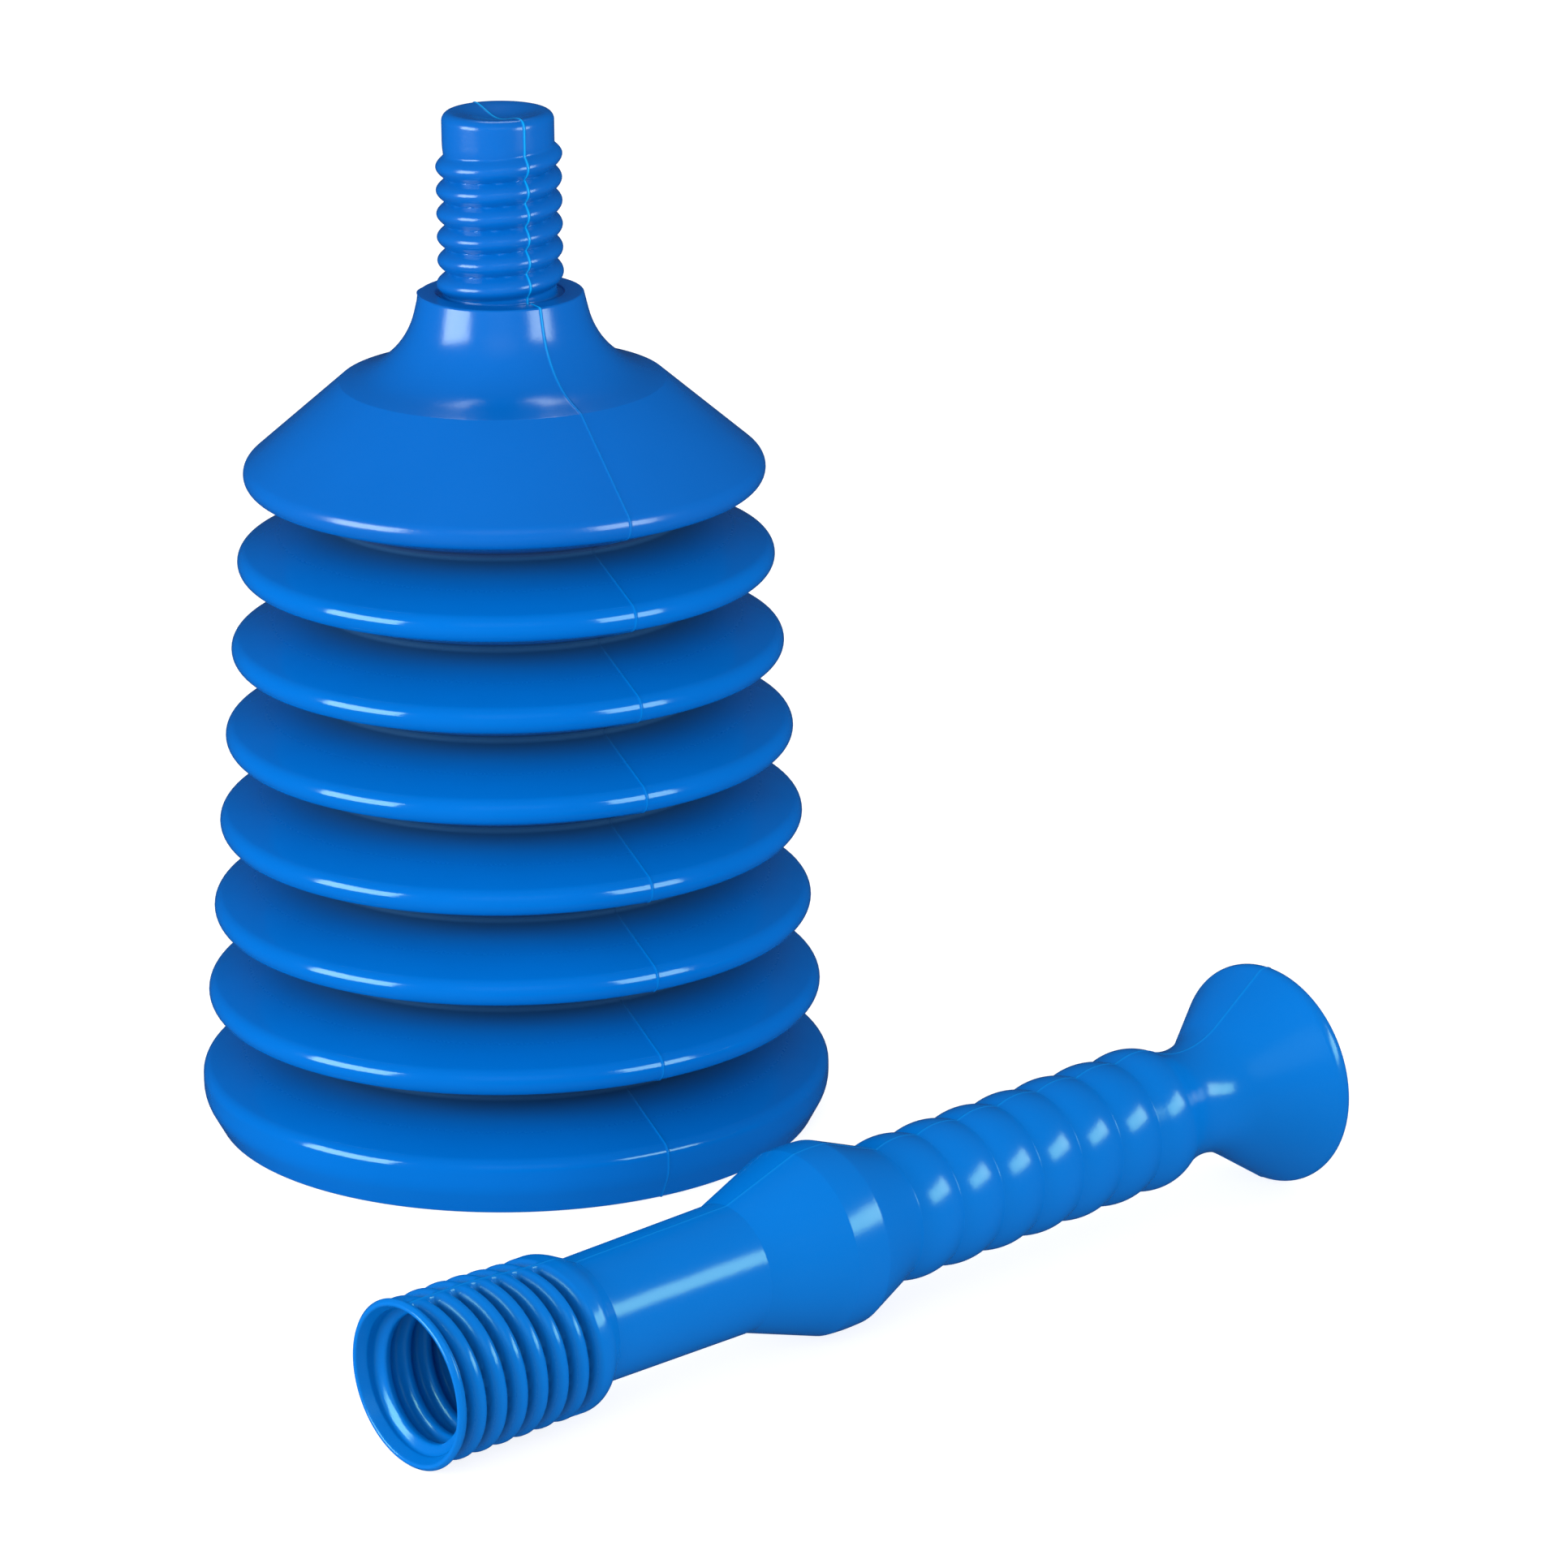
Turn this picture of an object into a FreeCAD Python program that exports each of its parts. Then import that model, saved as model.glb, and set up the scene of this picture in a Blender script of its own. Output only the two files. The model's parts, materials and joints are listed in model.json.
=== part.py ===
import FreeCAD, Part
import math
import os

import Sketcher

# A bellows drain plunger in two mouldings: a bellows with a threaded stub on its neck, and a
# handle with a threaded socket, which lies unscrewed on the floor in front of the bellows.
# The bellows moulding is divided at the creases between its folds, because the folds move.
# Millimetres. +Z is up, the floor is Z = 0 and the bellows stands on the Z axis.

FOLDS = 8
BEADS = 7

SIZES = {
    # bellows folds, counted from the neck down
    "wall": 1.8,
    "foot_peak_radius": 75.0,
    "peak_radius_step": 2.0,
    "foot_peak_height": 11.0,
    "foot_rim_radius": 70.5,
    "foot_collar_height": 1.5,
    "fold_pitch": 21.1,
    "peak_round": 3.5,
    "fold_depth": 19.0,
    "valley_drop": 9.6,
    "valley_round": 1.0,
    # shoulder, neck and stub, measured up from the top peak
    "shoulder_radius": 38.3,
    "shoulder_rise": 21.5,
    "neck_radius": 19.3,
    "neck_rise": 42.3,
    "neck_rim_height": 2.0,
    "neck_hollow_radius": 21.0,
    "stub_radius": 13.1,
    "core_radius": 12.75,
    "pilot_length": 7.4,
    "stub_length": 42.5,
    "stub_edge_round": 1.5,
    "stub_recess_width": 1.6,
    "stub_recess_depth": 0.8,
    "dimple_radius": 8.0,
    "dimple_depth": 2.0,
    "thread_pitch": 5.5,
    "thread_height": 1.45,
    "thread_root_width": 4.0,
    "thread_start": 2.2,
    "thread_turns": 5.5,
    # handle, measured along its axis from the mouth
    "lip_radius": 18.8,
    "lip_length": 1.6,
    "lip_funnel_radius": 16.8,
    "lip_funnel_depth": 4.5,
    "socket_radius": 18.3,
    "socket_bore_radius": 14.0,
    "socket_round_start": 37.0,
    "socket_length": 42.0,
    "socket_step": 1.4,
    "groove_depth": 2.5,
    "groove_floor_width": 1.2,
    "groove_mouth_width": 3.4,
    "groove_start": 3.4,
    "groove_turns": 6.0,
    "inner_groove_depth": 1.4,
    "inner_groove_floor_width": 0.8,
    "inner_groove_mouth_width": 2.4,
    "inner_groove_turns": 5.0,
    "shank_radius": 14.1,
    "shank_end_radius": 14.6,
    "shank_end": 88.5,
    "guard_radius": 21.3,
    "guard_crown": 0.2,
    "guard_start": 107.0,
    "guard_length": 9.5,
    "guard_wall": 2.0,
    "grip_start": 132.0,
    "bead_pitch": 12.1,
    "bead_radius": 16.5,
    "bead_crease_radius": 15.3,
    "last_bead_round": 13.0,
    "waist_radius": 12.6,
    "waist_round": 19.5,
    "knob_radius": 26.0,
    "knob_round": 3.2,
    "knob_middle": 252.5,
    "knob_dome": 4.0,
    "knob_wall": 3.4,
    # where the handle lies: the middle of its mouth, and the way its knob points
    "mouth_x": -15.3,
    "mouth_y": -216.2,
    "handle_heading": 40.7,
}

doc = FreeCAD.newDocument("bellows_plunger")
sheet = doc.addObject("Spreadsheet::Sheet", "sizes")
for row, (alias, number) in enumerate(SIZES.items(), start=1):
    sheet.set(f"A{row}", alias)
    sheet.set(f"B{row}", str(number))
    sheet.setAlias(f"B{row}", alias)
doc.recompute()


def value(expression):
    """What an expression on the sheet's sizes comes to."""
    return float(sheet.evalExpression(expression))


class Outline:
    """A closed sketch on a body's XZ plane: X is the radius and Y the height, both on the sheet."""

    def __init__(self, body, name):
        self.sketch = body.newObject("Sketcher::SketchObject", name)
        plane = next(f for f in body.Origin.OriginFeatures if f.Role == "XZ_Plane")
        self.sketch.AttachmentSupport = [(plane, "")]
        self.sketch.MapMode = "FlatFace"

    def bind(self, kind, refs, expression):
        """A dimension whose value is an expression on the sheet."""
        index = self.sketch.addConstraint(Sketcher.Constraint(kind, *refs, value(expression)))
        self.sketch.setExpression(f"Constraints[{index}]", expression)

    def fix(self, element, end, across, up):
        """Holds one end (1 or 2) or the centre (3) of an element at a radius and a height."""
        for kind, line, expression in (("DistanceX", -2, across), ("DistanceY", -1, up)):
            if expression == "0":
                self.sketch.addConstraint(Sketcher.Constraint("PointOnObject", element, end, line))
            else:
                self.bind(kind, (element, end), expression)

    def arc(self, centre, radius, start, end):
        """An anticlockwise arc; centre is a pair of expressions, or an arc to share a centre with."""
        if isinstance(centre, int):
            middle = self.sketch.Geometry[centre].Center
        else:
            middle = FreeCAD.Vector(value(centre[0]), value(centre[1]), 0)
        circle = Part.Circle(middle, FreeCAD.Vector(0, 0, 1), value(radius))
        turned = Part.ArcOfCircle(circle, math.radians(start), math.radians(end))
        index = self.sketch.addGeometry(turned, False)
        if isinstance(centre, int):
            self.sketch.addConstraint(Sketcher.Constraint("Coincident", index, 3, centre, 3))
        else:
            self.fix(index, 3, *centre)
        self.bind("Radius", (index,), radius)
        return index

    def ends(self, element):
        """The start and end point of an element."""
        shape = self.sketch.Geometry[element]
        return shape.StartPoint, shape.EndPoint

    def line(self, first, first_end, last, last_end, first_tangent=False, last_tangent=False):
        """A line from one end of an element to one end of another."""
        begin = self.ends(first)[first_end - 1]
        finish = self.ends(last)[last_end - 1]
        index = self.sketch.addGeometry(Part.LineSegment(begin, finish), False)
        for own_end, other, other_end, tangent in (
            (1, first, first_end, first_tangent),
            (2, last, last_end, last_tangent),
        ):
            kind = "Tangent" if tangent else "Coincident"
            self.sketch.addConstraint(Sketcher.Constraint(kind, index, own_end, other, other_end))
        return index

    def arc_between(self, centre, radius, start, end, joins):
        """An arc placed near a centre; joins pairs each end with (element, end, tangent)."""
        circle = Part.Circle(FreeCAD.Vector(*centre, 0), FreeCAD.Vector(0, 0, 1), radius)
        turned = Part.ArcOfCircle(circle, math.radians(start), math.radians(end))
        index = self.sketch.addGeometry(turned, False)
        for own_end, (other, other_end, tangent) in enumerate(joins, start=1):
            kind = "Tangent" if tangent else "Coincident"
            self.sketch.addConstraint(Sketcher.Constraint(kind, index, own_end, other, other_end))
        return index

    def path(self, points):
        """Lines through points, each a pair of expressions; returns the lines."""
        spots = [FreeCAD.Vector(value(across), value(up), 0) for across, up in points]
        lines = []
        for begin, finish in zip(spots, spots[1:]):
            lines.append(self.sketch.addGeometry(Part.LineSegment(begin, finish), False))
        for one, other in zip(lines, lines[1:]):
            self.sketch.addConstraint(Sketcher.Constraint("Coincident", one, 2, other, 1))
        for line, point in zip(lines, points):
            self.fix(line, 1, *point)
        self.fix(lines[-1], 2, *points[-1])
        return lines


def new_body(label):
    """An empty body named after its node."""
    body = doc.addObject("PartDesign::Body", label)
    body.Label = label
    return body


def turn(body, kind, outline, name):
    """A revolution or a groove of an outline about the body's own Z axis."""
    feature = body.newObject(kind, name)
    feature.Profile = outline.sketch
    feature.ReferenceAxis = (outline.sketch, ["V_Axis"])
    feature.Angle = 360
    outline.sketch.Visibility = False
    body.Tip = feature
    return feature


def peak_radius(fold):
    """The outer radius of a fold's peak, as an expression; fold 1 is the top one."""
    return f"(sizes.foot_peak_radius - {FOLDS - fold} * sizes.peak_radius_step)"


def valley(fold, height):
    """The centre of the rounding in the crease under a fold, at a height in the piece's frame."""
    middle = f"{peak_radius(fold)} + 0.5 * sizes.peak_radius_step"
    return (f"{middle} - sizes.fold_depth + sizes.valley_round", height)


def peak(outline, fold, height, low, high):
    """The two arcs, outside and inside, of a fold's rounded peak."""
    centre = (f"{peak_radius(fold)} - sizes.peak_round", height)
    outer = outline.arc(centre, "sizes.peak_round", low, high)
    inner = outline.arc(outer, "sizes.peak_round - sizes.wall", low, high)
    return outer, inner


def crease(outline, centre, low, high, cut):
    """The two arcs of a crease, cut off level with their centre at end cut, and the cut line."""
    outer = outline.arc(centre, "sizes.valley_round", low, high)
    inner = outline.arc(outer, "sizes.valley_round + sizes.wall", low, high)
    for element in (outer, inner):
        outline.sketch.addConstraint(Sketcher.Constraint("Horizontal", element, cut, element, 3))
    outline.line(outer, cut, inner, cut)
    return outer, inner


# Where the arcs of a fold begin and end before its walls are made tangent to them, in degrees.
UPPER_WALL_ANGLE = 27
LOWER_WALL_ANGLE = 20
CREASE_ABOVE = "sizes.fold_pitch - sizes.valley_drop"
CREASE_BELOW = "-sizes.valley_drop"


def make_fold(fold):
    """One fold, from the crease above it to the crease below it."""
    body = new_body(f"bellows_fold_{fold}")
    outline = Outline(body, f"fold_{fold}_outline")
    peaks = peak(outline, fold, "0", LOWER_WALL_ANGLE - 90, 90 - UPPER_WALL_ANGLE)
    tops = crease(outline, valley(fold - 1, CREASE_ABOVE), 180, 270 - UPPER_WALL_ANGLE, 1)
    bottoms = crease(outline, valley(fold, CREASE_BELOW), 90 + LOWER_WALL_ANGLE, 180, 2)
    for rounded, top, bottom in zip(peaks, tops, bottoms):
        outline.line(top, 2, rounded, 2, True, True)
        outline.line(rounded, 1, bottom, 1, True, True)
    turn(body, "PartDesign::Revolution", outline, f"fold_{fold}_shell")
    body.setExpression(
        ".Placement.Base.z", f"sizes.foot_peak_height + {FOLDS - fold} * sizes.fold_pitch"
    )
    return body


def make_foot():
    """The lowest fold, whose lower wall runs down to a short collar that stands on the floor."""
    body = new_body("bellows_foot")
    outline = Outline(body, "foot_outline")
    crease_height = f"sizes.foot_peak_height + {CREASE_ABOVE}"
    peaks = peak(outline, FOLDS, "sizes.foot_peak_height", -20, 90 - UPPER_WALL_ANGLE)
    tops = crease(outline, valley(FOLDS - 1, crease_height), 180, 270 - UPPER_WALL_ANGLE, 1)
    for rounded, top in zip(peaks, tops):
        outline.line(top, 2, rounded, 2, True, True)
    inner_rim = "sizes.foot_rim_radius - sizes.wall"
    collar = outline.path([
        ("sizes.foot_rim_radius", "sizes.foot_collar_height"),
        ("sizes.foot_rim_radius", "0"),
        (inner_rim, "0"),
        (inner_rim, "sizes.foot_collar_height"),
    ])
    outline.line(peaks[0], 1, collar[0], 1, True)
    outline.line(peaks[1], 1, collar[-1], 2, True)
    turn(body, "PartDesign::Revolution", outline, "foot_shell")
    return body


def thread_feature(body, kind, outline, name, turns):
    """A right-handed helix of an outline about the body's own Z axis."""
    helix = body.newObject(kind, name)
    helix.Profile = outline.sketch
    helix.ReferenceAxis = (outline.sketch, ["V_Axis"])
    helix.Mode = "pitch-turns-angle"
    helix.setExpression("Pitch", "sizes.thread_pitch")
    helix.setExpression("Turns", turns)
    outline.sketch.Visibility = False
    body.Tip = helix
    return helix


def make_neck():
    """The top fold, the shoulder cone, the hollow-sided neck and the stub, measured from the peak."""
    body = new_body("bellows_neck")
    outline = Outline(body, "neck_outline")
    sketch = outline.sketch
    peaks = peak(outline, 1, "0", LOWER_WALL_ANGLE - 90, 50)
    bottoms = crease(outline, valley(1, CREASE_BELOW), 90 + LOWER_WALL_ANGLE, 180, 2)
    for rounded, bottom in zip(peaks, bottoms):
        outline.line(rounded, 1, bottom, 1, True, True)
    stub_top = "(sizes.neck_rise + sizes.stub_length)"
    pilot_foot = f"{stub_top} - sizes.pilot_length"
    edge_height = f"{stub_top} - sizes.stub_edge_round"
    edge_radius = "sizes.stub_radius - sizes.stub_edge_round"
    recess = "sizes.stub_radius + sizes.stub_recess_width"
    recess_floor = "sizes.neck_rise - sizes.stub_recess_depth"
    rim_and_stub = outline.path([
        ("sizes.neck_radius", "sizes.neck_rise - sizes.neck_rim_height"),
        ("sizes.neck_radius", "sizes.neck_rise"),
        (recess, "sizes.neck_rise"),
        (recess, recess_floor),
        ("sizes.core_radius", recess_floor),
        ("sizes.core_radius", pilot_foot),
        ("sizes.stub_radius", pilot_foot),
        ("sizes.stub_radius", edge_height),
    ])
    ceiling = f"{stub_top} - sizes.dimple_depth"
    bore = "sizes.stub_radius - sizes.wall"
    under_rim = "sizes.neck_rise - sizes.wall"
    inside = outline.path([
        ("0", ceiling),
        ("0", f"{ceiling} - sizes.wall"),
        (bore, f"{ceiling} - sizes.wall"),
        (bore, under_rim),
        ("sizes.neck_radius - sizes.wall", under_rim),
    ])
    (table,) = outline.path([(edge_radius, stub_top), ("sizes.dimple_radius", stub_top)])
    edge_centre = (value(edge_radius), value(edge_height))
    joins = ((rim_and_stub[-1], 2, True), (table, 1, False))
    outline.arc_between(edge_centre, value("sizes.stub_edge_round"), 0, 90, joins)
    dimple = value("(sizes.dimple_radius ^ 2 + sizes.dimple_depth ^ 2) / (2 * sizes.dimple_depth)")
    spread = math.degrees(math.asin(value("sizes.dimple_radius") / dimple))
    joins = ((inside[0], 1, False), (table, 2, False))
    bowl = outline.arc_between((0, value(ceiling) + dimple), dimple, 270, 270 + spread, joins)
    sketch.addConstraint(Sketcher.Constraint("PointOnObject", bowl, 3, -2))
    centre, low, high = neck_hollow()
    joins = ((rim_and_stub[0], 1, False),)
    hollow = value("sizes.neck_hollow_radius")
    outer_arc = outline.arc_between(centre, hollow, high, low, joins)
    joins = ((inside[-1], 2, False),)
    inner_arc = outline.arc_between(centre, hollow + value("sizes.wall"), high, low, joins)
    outline.fix(outer_arc, 2, "sizes.shoulder_radius", "sizes.shoulder_rise")
    outline.bind("Radius", (outer_arc,), "sizes.neck_hollow_radius")
    sketch.addConstraint(Sketcher.Constraint("Coincident", inner_arc, 3, outer_arc, 3))
    outer_cone = outline.line(peaks[0], 2, outer_arc, 2, True)
    inner_cone = outline.line(peaks[1], 2, inner_arc, 2, True)
    sketch.addConstraint(Sketcher.Constraint("Parallel", outer_cone, inner_cone))
    turn(body, "PartDesign::Revolution", outline, "neck_shell")
    add_stub_thread(body)
    body.setExpression(
        ".Placement.Base.z", f"sizes.foot_peak_height + {FOLDS - 1} * sizes.fold_pitch"
    )
    return body


def neck_hollow():
    """The centre of the neck's hollow side and the angles of its ends, shoulder first."""
    shoulder = FreeCAD.Vector(value("sizes.shoulder_radius"), value("sizes.shoulder_rise"), 0)
    rim_foot = value("sizes.neck_rise - sizes.neck_rim_height")
    chord = FreeCAD.Vector(value("sizes.neck_radius"), rim_foot, 0) - shoulder
    reach = math.sqrt(value("sizes.neck_hollow_radius") ** 2 - (chord.Length / 2) ** 2)
    centre = shoulder + chord * 0.5 + FreeCAD.Vector(chord.y, -chord.x, 0).normalize() * reach
    angles = []
    for point in (shoulder, shoulder + chord):
        spoke = point - centre
        angles.append(math.degrees(math.atan2(spoke.y, spoke.x)) % 360)
    return (centre.x, centre.y), angles[0], angles[1]


def add_stub_thread(body):
    """The rib that winds up the stub from its -X side, a trapezium rooted inside the stub."""
    outline = Outline(body, "thread_outline")
    outline.sketch.AttachmentOffset = FreeCAD.Placement(
        FreeCAD.Vector(), FreeCAD.Rotation(FreeCAD.Vector(0, 1, 0), 180)
    )
    start = "(sizes.neck_rise + sizes.thread_start)"
    half_root = "0.5 * sizes.thread_root_width"
    half_crest = "0.2 * sizes.thread_root_width"
    root = "sizes.core_radius - 0.25 * sizes.wall"
    crest = "sizes.stub_radius + sizes.thread_height"
    outline.path([
        (root, f"{start} - {half_root}"),
        (root, f"{start} + {half_root}"),
        (crest, f"{start} + {half_crest}"),
        (crest, f"{start} - {half_crest}"),
        (root, f"{start} - {half_root}"),
    ])
    thread_feature(body, "PartDesign::AdditiveHelix", outline, "stub_thread", "sizes.thread_turns")


def make_handle():
    """The handle, built standing on its mouth and then laid on the floor."""
    body = new_body("handle")
    waist_middle = add_handle_outside(body)
    add_grip_creases(body)
    add_handle_cavity(body, waist_middle)
    groove_floor = "sizes.socket_radius - sizes.groove_depth"
    groove_mouth = "sizes.socket_radius + 0.1 * sizes.groove_mouth_width"
    add_socket_groove(body, "groove", groove_floor, groove_mouth, "sizes.groove_start")
    inner_floor = "sizes.socket_bore_radius + sizes.inner_groove_depth"
    inner_mouth = "sizes.socket_bore_radius - 0.1 * sizes.inner_groove_mouth_width"
    inner_start = "sizes.groove_start + 1.5 * sizes.thread_pitch"
    add_socket_groove(body, "inner_groove", inner_floor, inner_mouth, inner_start)
    lay_down(body)
    return body


LAST_CREST = f"(sizes.grip_start + {BEADS - 0.5} * sizes.bead_pitch)"
GUARD_END = "(sizes.guard_start + sizes.guard_length)"
HANDLE_TOP = "(sizes.knob_middle + sizes.knob_round + sizes.knob_dome)"


def add_handle_outside(body):
    """Lip, socket, shank, guard, first bead, grip, waist and knob, turned as one solid."""
    outline = Outline(body, "handle_outline")
    guard_edge = "sizes.guard_radius - sizes.guard_crown"
    first_crest = "sizes.grip_start + 0.5 * sizes.bead_pitch"
    lower = outline.path([
        ("0", "0"),
        ("sizes.lip_radius", "0"),
        ("sizes.lip_radius", "sizes.lip_length"),
        ("sizes.socket_radius", "sizes.lip_length"),
        ("sizes.socket_radius", "sizes.socket_round_start"),
    ])
    middle = outline.path([
        ("sizes.shank_radius + sizes.socket_step", "sizes.socket_length"),
        ("sizes.shank_radius", "sizes.socket_length + sizes.socket_step"),
        ("sizes.shank_end_radius", "sizes.shank_end"),
        (guard_edge, "sizes.guard_start"),
        ("sizes.guard_radius", "sizes.guard_start + 0.5 * sizes.guard_length"),
        (guard_edge, GUARD_END),
        ("sizes.bead_crease_radius", "sizes.grip_start"),
    ])
    (grip,) = outline.path([("sizes.bead_radius", first_crest), ("sizes.bead_radius", LAST_CREST)])
    (axis,) = outline.path([("0", HANDLE_TOP), ("0", "0")])
    socket_round = value("sizes.socket_length - sizes.socket_round_start")
    socket_centre = (value("sizes.socket_radius") - socket_round, value("sizes.socket_round_start"))
    joins = ((lower[-1], 2, True), (middle[0], 1, False))
    outline.arc_between(socket_centre, socket_round, 0, 60, joins)
    bead = bead_arc_radius()
    bead_centre = (value("sizes.bead_radius") - bead, value(first_crest))
    joins = ((middle[-1], 2, False), (grip, 1, True))
    outline.arc_between(bead_centre, bead, -22, 0, joins)
    return add_waist_and_knob(outline, body, grip, axis)


def add_waist_and_knob(outline, body, grip, axis):
    """The last bead's far side, the waist, the flare and the knob; returns the waist's height."""
    last_round = value("sizes.last_bead_round")
    last_centre = (value("sizes.bead_radius") - last_round, value(LAST_CREST))
    last_bead = outline.arc_between(last_centre, last_round, 0, 30, ((grip, 2, True),))
    outline.bind("Radius", (last_bead,), "sizes.last_bead_round")
    across = value("sizes.waist_radius + sizes.waist_round")
    between = last_round + value("sizes.waist_round")
    rise = math.sqrt(between ** 2 - (across - last_centre[0]) ** 2)
    waist_centre = (across, last_centre[1] + rise)
    waist = outline.arc_between(waist_centre, value("sizes.waist_round"), 135, 210, ())
    outline.bind("Radius", (waist,), "sizes.waist_round")
    outline.bind("DistanceX", (waist, 3), "sizes.waist_radius + sizes.waist_round")
    outline.sketch.addConstraint(Sketcher.Constraint("Tangent", waist, 2, last_bead, 2))
    rim_centre = ("sizes.knob_radius - sizes.knob_round", "sizes.knob_middle")
    rim = outline.arc(rim_centre, "sizes.knob_round", -45, 68)
    outline.line(waist, 1, rim, 1, True, True)
    dome = value("sizes.knob_radius ^ 2 / (2 * (sizes.knob_dome + 0.5 * sizes.knob_round))")
    dome_centre = (0, value(HANDLE_TOP) - dome)
    joins = ((rim, 2, True), (axis, 1, False))
    cap = outline.arc_between(dome_centre, dome, 70, 90, joins)
    outline.sketch.addConstraint(Sketcher.Constraint("PointOnObject", cap, 3, -2))
    turn(body, "PartDesign::Revolution", outline, "handle_solid")
    return outline.sketch.Geometry[waist].Center.y


def bead_arc_radius():
    """The radius of the arc from a crease over a bead's crest to the next crease."""
    depth = value("sizes.bead_radius - sizes.bead_crease_radius")
    return (value("0.5 * sizes.bead_pitch") ** 2 + depth ** 2) / (2 * depth)


def add_grip_creases(body):
    """The creases that part the beads of the grip: one groove, repeated along the handle."""
    outline = Outline(body, "crease_outline")
    crease_height = "(sizes.grip_start + sizes.bead_pitch)"
    below = f"{crease_height} - 0.5 * sizes.bead_pitch"
    above = f"{crease_height} + 0.5 * sizes.bead_pitch"
    clear = "sizes.bead_radius + sizes.wall"
    outside = outline.path([
        ("sizes.bead_radius", above),
        (clear, above),
        (clear, below),
        ("sizes.bead_radius", below),
    ])
    bead = bead_arc_radius()
    spread = math.degrees(math.asin(value("0.5 * sizes.bead_pitch") / bead))
    across = value("sizes.bead_radius") - bead
    lower = outline.arc_between((across, value(below)), bead, 0, spread, ((outside[-1], 2, False),))
    outline.fix(lower, 2, "sizes.bead_crease_radius", crease_height)
    joins = ((lower, 2, False), (outside[0], 1, False))
    upper = outline.arc_between((across, value(above)), bead, -spread, 0, joins)
    for arc, crest in ((lower, 1), (upper, 2)):
        outline.sketch.addConstraint(Sketcher.Constraint("Horizontal", arc, 3, arc, crest))
    groove = turn(body, "PartDesign::Groove", outline, "first_crease")
    creases = body.newObject("PartDesign::LinearPattern", "grip_creases")
    creases.Originals = [groove]
    creases.Direction = (outline.sketch, ["V_Axis"])
    creases.setExpression("Length", f"{BEADS - 2} * sizes.bead_pitch")
    creases.Occurrences = BEADS - 1
    body.Tip = creases


def add_handle_cavity(body, waist_middle):
    """The hollow inside, open at the mouth: funnel, socket bore, shank, guard, grip and knob."""
    outline = Outline(body, "cavity_outline")
    crest = "sizes.bead_crease_radius - sizes.wall"
    mouth_side = outline.path([
        ("0", "0"),
        ("sizes.lip_funnel_radius", "0"),
        ("sizes.socket_bore_radius", "sizes.lip_funnel_depth"),
        ("sizes.socket_bore_radius", "sizes.socket_length - sizes.wall"),
        ("sizes.shank_radius - sizes.wall", "sizes.socket_length + sizes.wall"),
        ("sizes.shank_end_radius - sizes.wall", "sizes.shank_end"),
        ("sizes.guard_radius - sizes.guard_wall", "sizes.guard_start"),
        ("sizes.guard_radius - sizes.guard_wall", GUARD_END),
        (crest, "sizes.grip_start"),
        (crest, LAST_CREST),
        ("sizes.waist_radius - sizes.wall", f"{waist_middle}"),
    ])
    turned_back = math.sqrt(0.5)
    flare_across = "sizes.waist_radius + sizes.waist_round"
    inner_round = "(sizes.waist_round + sizes.wall)"
    flare_start = (
        f"{flare_across} - {turned_back} * {inner_round}",
        f"{waist_middle} + {turned_back} * {inner_round}",
    )
    knob_side = outline.path([
        flare_start,
        ("sizes.knob_radius - sizes.knob_wall", "sizes.knob_middle - sizes.wall"),
        ("sizes.knob_radius - sizes.knob_wall", "sizes.knob_middle + 0.5 * sizes.wall"),
        ("0", f"{HANDLE_TOP} - sizes.wall"),
        ("0", "0"),
    ])
    centre = (value(flare_across), waist_middle)
    joins = ((knob_side[0], 1, False), (mouth_side[-1], 2, False))
    inner_waist = outline.arc_between(centre, value(inner_round), 135, 180, joins)
    outline.bind("Radius", (inner_waist,), inner_round)
    turn(body, "PartDesign::Groove", outline, "cavity")


def add_socket_groove(body, name, floor, mouth, start):
    """A helical groove in the socket's wall, wider at its mouth than at its floor."""
    outline = Outline(body, f"{name}_outline")
    half_floor = f"0.5 * sizes.{name}_floor_width"
    half_mouth = f"0.5 * sizes.{name}_mouth_width"
    outline.path([
        (floor, f"{start} - {half_floor}"),
        (floor, f"{start} + {half_floor}"),
        (mouth, f"{start} + {half_mouth}"),
        (mouth, f"{start} - {half_mouth}"),
        (floor, f"{start} - {half_floor}"),
    ])
    thread_feature(body, "PartDesign::SubtractiveHelix", outline, name, f"sizes.{name}_turns")


def lay_down(body):
    """Puts the handle on the floor, resting on its lip and its knob."""
    overhang = value("sizes.knob_radius - sizes.knob_round - sizes.lip_radius")
    reach = value("sizes.knob_middle")
    tilt = math.asin(value("sizes.knob_round") / math.hypot(reach, overhang))
    tilt += math.atan2(overhang, reach)
    heading = math.radians(value("sizes.handle_heading"))
    level = math.cos(tilt)
    pointing = FreeCAD.Vector(level * math.cos(heading), level * math.sin(heading), math.sin(tilt))
    mouth_height = value("sizes.lip_radius") * level
    mouth = FreeCAD.Vector(value("sizes.mouth_x"), value("sizes.mouth_y"), mouth_height)
    laid = FreeCAD.Rotation(FreeCAD.Vector(0, 0, 1), pointing)
    body.Placement = FreeCAD.Placement(mouth, laid)


def write_parts(bodies):
    """Checks every object of the document and writes each body as a STEP file."""
    for item in doc.Objects:
        if {"Invalid", "Error"} & set(item.State):
            raise RuntimeError(f"{item.Name} did not rebuild: {item.State}")
    os.makedirs("parts", exist_ok=True)
    for body in bodies:
        shape = body.Shape
        if shape.isNull() or not shape.isValid() or len(shape.Solids) != 1:
            raise RuntimeError(f"{body.Label} is not one valid solid")
        shape.exportStep(f"parts/{body.Label}.step")
        print(f"{body.Label}: {shape.Volume / 1000:.1f} cm3")


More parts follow.
